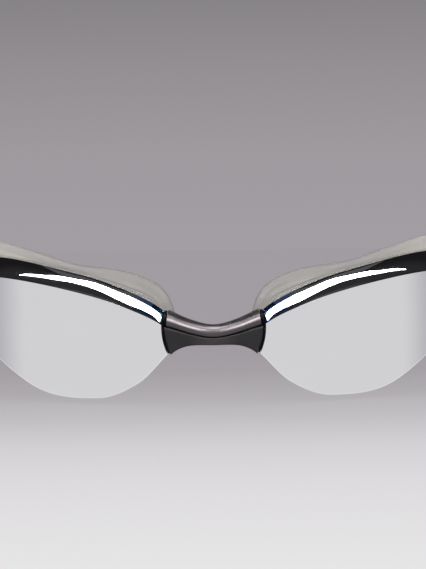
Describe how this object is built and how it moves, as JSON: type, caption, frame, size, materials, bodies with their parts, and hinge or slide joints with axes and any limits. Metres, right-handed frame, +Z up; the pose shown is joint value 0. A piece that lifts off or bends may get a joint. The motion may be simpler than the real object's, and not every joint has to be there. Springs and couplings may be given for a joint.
{
  "type": "swim goggles",
  "caption": "Swim goggles with mirrored wraparound lenses, clear soft gaskets, a push-fit nose bridge, hinged side arms and a split head strap.",
  "frame": {"origin": "on the table under the middle of the goggles' footprint", "axes": "+X towards the wearer's left, +Y from the lenses to the back of the head, +Z up"},
  "size_m": [0.1598, 0.1663, 0.0387],
  "materials": {
    "mirror_lens": "silver mirror coating on a moulded lens",
    "clear_rim": "clear polished plastic",
    "gasket_silicone": "clear, slightly greenish soft silicone",
    "bridge_matte": "dark matte moulded plastic",
    "satin_gunmetal": "satin gunmetal coating",
    "arm_black": "black semi-gloss moulded plastic",
    "strap_silicone": "dark matte silicone",
    "pin_steel": "stainless steel"
  },
  "bodies": {
    "bridge": {"nose_bridge_body": "bridge_matte", "nose_bridge_cover": "satin_gunmetal"},
    "eyecup_left": {"lens_left": "mirror_lens", "rim_left": "clear_rim", "gasket_left": "gasket_silicone"},
    "arm_left": {"side_arm_left": "arm_black", "hinge_pin_left": "pin_steel", "strap_left": "strap_silicone"},
    "button_left": {"release_button_left": "satin_gunmetal"},
    "slider_left": {"slider_left": "arm_black"},
    "eyecup_right": {"lens_right": "mirror_lens", "rim_right": "clear_rim", "gasket_right": "gasket_silicone"},
    "arm_right": {"side_arm_right": "arm_black", "hinge_pin_right": "pin_steel", "strap_right": "strap_silicone"},
    "button_right": {"release_button_right": "satin_gunmetal"},
    "slider_right": {"slider_right": "arm_black"}
  },
  "joints": [
    {"name": "eyecup_left_flex", "type": "hinge", "parent": "bridge", "child": "eyecup_left", "pos_m": [0.0082, -0.0785, 0.0165], "axis": [0, 0, 1], "range_deg": [-2, 8], "stiffness_Nm_per_rad": 0.15},
    {"name": "arm_left_swing", "type": "hinge", "parent": "eyecup_left", "child": "arm_left", "pos_m": [0.0756, -0.0425, 0.028], "axis": [0, 0, 1], "range_deg": [-9, 6]},
    {"name": "button_left_press", "type": "slide", "parent": "arm_left", "child": "button_left", "axis": [-1, 0, 0], "range_m": [0, 0.0007], "stiffness_N_per_m": 600},
    {"name": "slider_left_adjust", "type": "slide", "parent": "arm_left", "child": "slider_left", "axis": [1, 0, 0], "range_m": [-0.006, 0.008]},
    {"name": "eyecup_right_flex", "type": "hinge", "parent": "bridge", "child": "eyecup_right", "pos_m": [-0.0082, -0.0785, 0.0165], "axis": [0, 0, -1], "range_deg": [-2, 8], "stiffness_Nm_per_rad": 0.15},
    {"name": "arm_right_swing", "type": "hinge", "parent": "eyecup_right", "child": "arm_right", "pos_m": [-0.0756, -0.0425, 0.028], "axis": [0, 0, -1], "range_deg": [-9, 6]},
    {"name": "button_right_press", "type": "slide", "parent": "arm_right", "child": "button_right", "axis": [1, 0, 0], "range_m": [0, 0.0007], "stiffness_N_per_m": 600},
    {"name": "slider_right_adjust", "type": "slide", "parent": "arm_right", "child": "slider_right", "axis": [-1, 0, 0], "range_m": [-0.006, 0.008]}
  ],
  "couplings": [
    {"joint": "eyecup_right_flex", "follows": "eyecup_left_flex", "ratio": 1},
    {"joint": "arm_left_swing", "follows": "eyecup_left_flex", "ratio": -1},
    {"joint": "arm_right_swing", "follows": "eyecup_left_flex", "ratio": -1}
  ]
}
